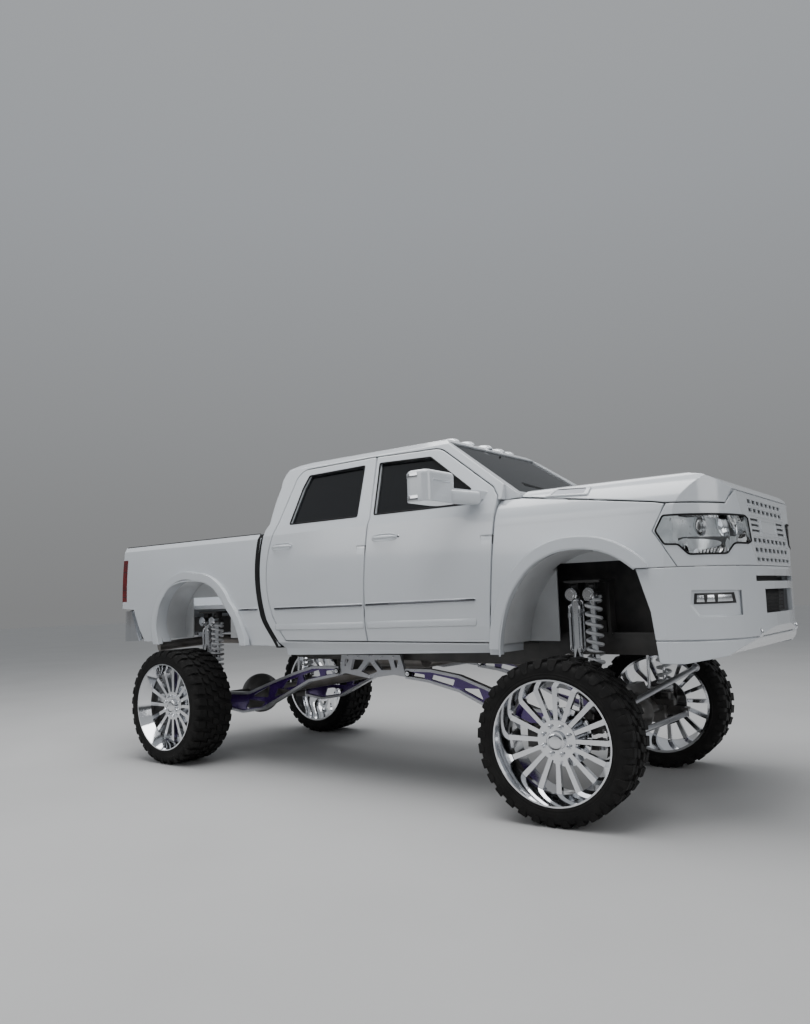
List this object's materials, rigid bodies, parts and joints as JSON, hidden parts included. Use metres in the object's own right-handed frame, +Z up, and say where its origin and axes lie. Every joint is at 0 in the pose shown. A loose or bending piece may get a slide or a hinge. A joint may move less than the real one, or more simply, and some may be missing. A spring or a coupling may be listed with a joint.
{
  "type": "lifted crew-cab pickup truck",
  "caption": "Lifted heavy-duty crew-cab pickup truck with a short bed, deep-dish polished wheels, wide mud tyres, long suspension arms and opening doors, hood and tailgate.",
  "frame": {"origin": "on the ground, under the middle of the bumper-to-bumper length", "axes": "+X forward, +Y to the truck's left, +Z up"},
  "size_m": [6.066, 2.8, 2.69],
  "materials": {
    "body_paint": "gloss white",
    "clear_lens": "clear",
    "red_lens": "gloss dark red",
    "window_glass": "dark tint",
    "cabin_plastic": "grained black",
    "seat_leather": "black leather",
    "liner_white": "satin white",
    "bright_chrome": "polished chrome",
    "chassis_black": "satin black",
    "engine_iron": "dark cast",
    "driveline_metal": "dull steel",
    "tank_plastic": "black",
    "exhaust_steel": "heat-dulled steel",
    "axle_paint": "gloss purple and black",
    "arm_silver": "satin silver",
    "web_purple": "gloss purple",
    "polished_rim": "mirror polished",
    "tyre_rubber": "matte black rubber"
  },
  "bodies": {
    "chassis_and_body": {"fender_right": "body_paint", "fender_left": "body_paint", "front_fascia": "body_paint", "front_bumper": "body_paint", "cab_roof": "body_paint", "cab_back": "body_paint", "cab_floor": "body_paint", "cab_side_right": "body_paint", "cab_side_left": "body_paint", "bed_side_right": "body_paint", "bed_side_left": "body_paint", "bed_tub": "body_paint", "headlamps": "clear_lens", "tail_lamps": "red_lens", "cab_glass": "window_glass", "dashboard": "cabin_plastic", "seats": "seat_leather", "wheel_liners": "liner_white", "rear_bumper": "bright_chrome", "frame": "chassis_black", "engine": "engine_iron", "driveline": "driveline_metal", "fuel_tank": "tank_plastic", "exhaust": "exhaust_steel", "front_axle": "axle_paint", "rear_axle": "axle_paint", "suspension_arms": "arm_silver", "arm_webs": "web_purple", "centre_truss": "web_purple", "shocks": "bright_chrome"},
    "hood_lid": {"hood": "body_paint"},
    "front_door_right": {"door_front_right": "body_paint", "door_glass_front_right": "window_glass"},
    "front_door_left": {"door_front_left": "body_paint", "door_glass_front_left": "window_glass"},
    "rear_door_right": {"door_rear_right": "body_paint", "door_glass_rear_right": "window_glass"},
    "rear_door_left": {"door_rear_left": "body_paint", "door_glass_rear_left": "window_glass"},
    "tail_gate": {"tailgate": "body_paint"},
    "steering_knuckle_right": {"knuckle_right": "bright_chrome"},
    "steering_knuckle_left": {"knuckle_left": "bright_chrome"},
    "steering_tie_rod": {"tie_rod": "arm_silver"},
    "steering_drag_link": {"drag_link": "arm_silver"},
    "steering_pitman": {"pitman_arm": "chassis_black"},
    "wheel_front_right": {"rim_front_right": "polished_rim", "tyre_front_right": "tyre_rubber"},
    "wheel_front_left": {"rim_front_left": "polished_rim", "tyre_front_left": "tyre_rubber"},
    "wheel_rear_right": {"rim_rear_right": "polished_rim", "tyre_rear_right": "tyre_rubber"},
    "wheel_rear_left": {"rim_rear_left": "polished_rim", "tyre_rear_left": "tyre_rubber"}
  },
  "joints": [
    {"name": "steer_right", "type": "hinge", "parent": "chassis_and_body", "child": "steering_knuckle_right", "pos_m": [1.86, -0.8, 0.512], "axis": [0, 0, 1], "range_deg": [-34.5, 21.5]},
    {"name": "steer_left", "type": "hinge", "parent": "chassis_and_body", "child": "steering_knuckle_left", "pos_m": [1.86, 0.8, 0.512], "axis": [0, 0, 1], "range_deg": [-34.5, 21.5]},
    {"name": "pitman_turn", "type": "hinge", "parent": "chassis_and_body", "child": "steering_pitman", "pos_m": [2.06, 0.41, 0.905], "axis": [0, 0, 1], "range_deg": [-34.5, 21.5]},
    {"name": "tie_rod_end", "type": "hinge", "parent": "steering_knuckle_right", "child": "steering_tie_rod", "pos_m": [2.05871, -0.77736, 0.44], "axis": [0, 0, 1], "range_deg": [-21.5, 34.5]},
    {"name": "drag_link_end", "type": "hinge", "parent": "steering_knuckle_right", "child": "steering_drag_link", "pos_m": [2.08852, -0.77396, 0.622], "axis": [0, 0, 1], "range_deg": [-21.5, 34.5]},
    {"name": "spin_front_right", "type": "hinge", "parent": "steering_knuckle_right", "child": "wheel_front_right", "pos_m": [1.86, -0.8, 0.512], "axis": [-0.1132, 0.9936, 0], "continuous": true},
    {"name": "spin_front_left", "type": "hinge", "parent": "steering_knuckle_left", "child": "wheel_front_left", "pos_m": [1.86, 0.8, 0.512], "axis": [-0.1132, 0.9936, 0], "continuous": true},
    {"name": "spin_rear_right", "type": "hinge", "parent": "chassis_and_body", "child": "wheel_rear_right", "pos_m": [-2.032, -0.8, 0.512], "axis": [0, 1, 0], "continuous": true},
    {"name": "spin_rear_left", "type": "hinge", "parent": "chassis_and_body", "child": "wheel_rear_left", "pos_m": [-2.032, 0.8, 0.512], "axis": [0, 1, 0], "continuous": true},
    {"name": "door_front_right_hinge", "type": "hinge", "parent": "chassis_and_body", "child": "front_door_right", "pos_m": [1.335, -0.972, 1.6], "axis": [0, 0, 1], "range_deg": [0, 70]},
    {"name": "door_front_left_hinge", "type": "hinge", "parent": "chassis_and_body", "child": "front_door_left", "pos_m": [1.335, 0.972, 1.6], "axis": [0, 0, -1], "range_deg": [0, 70]},
    {"name": "door_rear_right_hinge", "type": "hinge", "parent": "chassis_and_body", "child": "rear_door_right", "pos_m": [0.185, -0.972, 1.6], "axis": [0, 0, 1], "range_deg": [0, 70]},
    {"name": "door_rear_left_hinge", "type": "hinge", "parent": "chassis_and_body", "child": "rear_door_left", "pos_m": [0.185, 0.972, 1.6], "axis": [0, 0, -1], "range_deg": [0, 70]},
    {"name": "hood_hinge", "type": "hinge", "parent": "chassis_and_body", "child": "hood_lid", "pos_m": [1.624, 0, 2.16], "axis": [0, -1, 0], "range_deg": [0, 50]},
    {"name": "tailgate_hinge", "type": "hinge", "parent": "chassis_and_body", "child": "tail_gate", "pos_m": [-2.958, 0, 1.44], "axis": [0, -1, 0], "range_deg": [0, 90]}
  ],
  "couplings": [
    {"joint": "steer_left", "follows": "steer_right", "ratio": 1},
    {"joint": "pitman_turn", "follows": "steer_right", "ratio": 1},
    {"joint": "tie_rod_end", "follows": "steer_right", "ratio": -1},
    {"joint": "drag_link_end", "follows": "steer_right", "ratio": -1}
  ]
}
